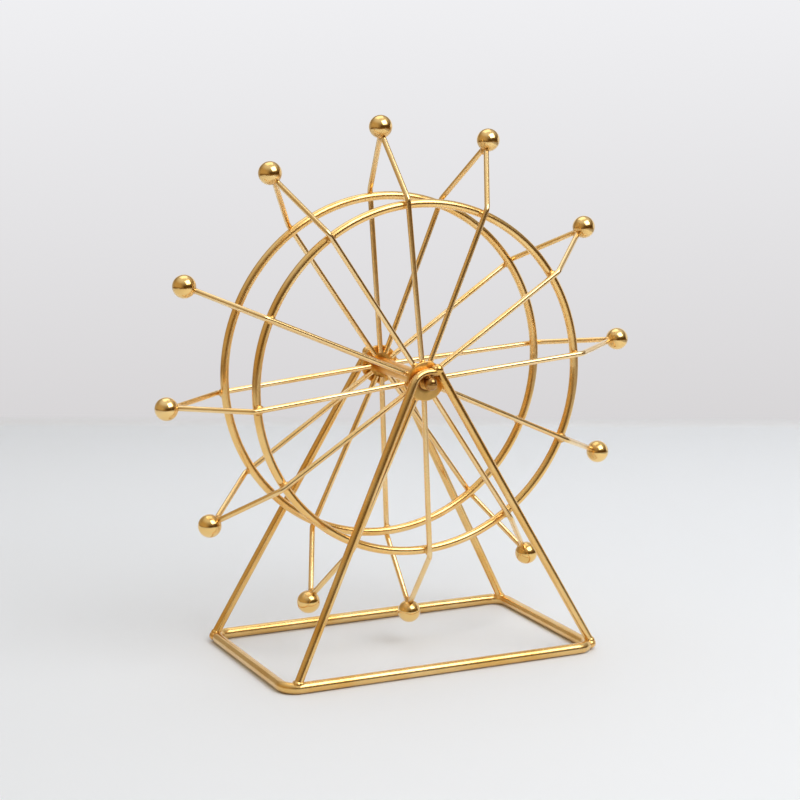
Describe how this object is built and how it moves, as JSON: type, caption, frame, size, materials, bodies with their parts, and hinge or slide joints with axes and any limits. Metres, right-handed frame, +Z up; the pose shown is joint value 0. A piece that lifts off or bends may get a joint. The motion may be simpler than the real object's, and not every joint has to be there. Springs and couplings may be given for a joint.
{
  "type": "ferris wheel ornament",
  "caption": "Free-standing ferris wheel ornament of gold-plated round rod: a wheel of rings, spokes and balls turns on an axle held by two A-frames on a rectangular base.",
  "frame": {"origin": "on the floor, below the middle of the wheel and in the middle of the base", "axes": "+X along the long side of the base, +Y from the front A-frame to the rear one along the axle, +Z up"},
  "size_m": [0.2252, 0.091, 0.2344],
  "materials": {
    "stand_plating": "satin pale-gold plating over steel rod",
    "wheel_plating": "satin pale-gold plating over steel wire",
    "hub_plating": "satin gold plating over steel, a little darker inside the hub",
    "ball_plating": "polished pale-gold plating over steel balls"
  },
  "bodies": {
    "stand": {"base_frame": "stand_plating", "front_hook_leg": "stand_plating", "front_straight_leg": "stand_plating", "rear_hook_leg": "stand_plating", "rear_straight_leg": "stand_plating", "axle": "hub_plating"},
    "wheel": {"sleeve_tube": "hub_plating", "front_hub_washer": "hub_plating", "rear_hub_washer": "hub_plating", "front_ring": "wheel_plating", "rear_ring": "wheel_plating", "front_spoke_01": "wheel_plating", "front_spoke_02": "wheel_plating", "front_spoke_03": "wheel_plating", "front_spoke_04": "wheel_plating", "front_spoke_05": "wheel_plating", "front_spoke_06": "wheel_plating", "front_spoke_07": "wheel_plating", "front_spoke_08": "wheel_plating", "front_spoke_09": "wheel_plating", "front_spoke_10": "wheel_plating", "front_spoke_11": "wheel_plating", "front_spoke_12": "wheel_plating", "rear_spoke_01": "wheel_plating", "rear_spoke_02": "wheel_plating", "rear_spoke_03": "wheel_plating", "rear_spoke_04": "wheel_plating", "rear_spoke_05": "wheel_plating", "rear_spoke_06": "wheel_plating", "rear_spoke_07": "wheel_plating", "rear_spoke_08": "wheel_plating", "rear_spoke_09": "wheel_plating", "rear_spoke_10": "wheel_plating", "rear_spoke_11": "wheel_plating", "rear_spoke_12": "wheel_plating", "ball_01": "ball_plating", "ball_02": "ball_plating", "ball_03": "ball_plating", "ball_04": "ball_plating", "ball_05": "ball_plating", "ball_06": "ball_plating", "ball_07": "ball_plating", "ball_08": "ball_plating", "ball_09": "ball_plating", "ball_10": "ball_plating", "ball_11": "ball_plating", "ball_12": "ball_plating"}
  },
  "joints": [
    {"name": "wheel_spin", "type": "hinge", "parent": "stand", "child": "wheel", "pos_m": [0, 0, 0.12325], "axis": [0, 1, 0], "continuous": true}
  ]
}
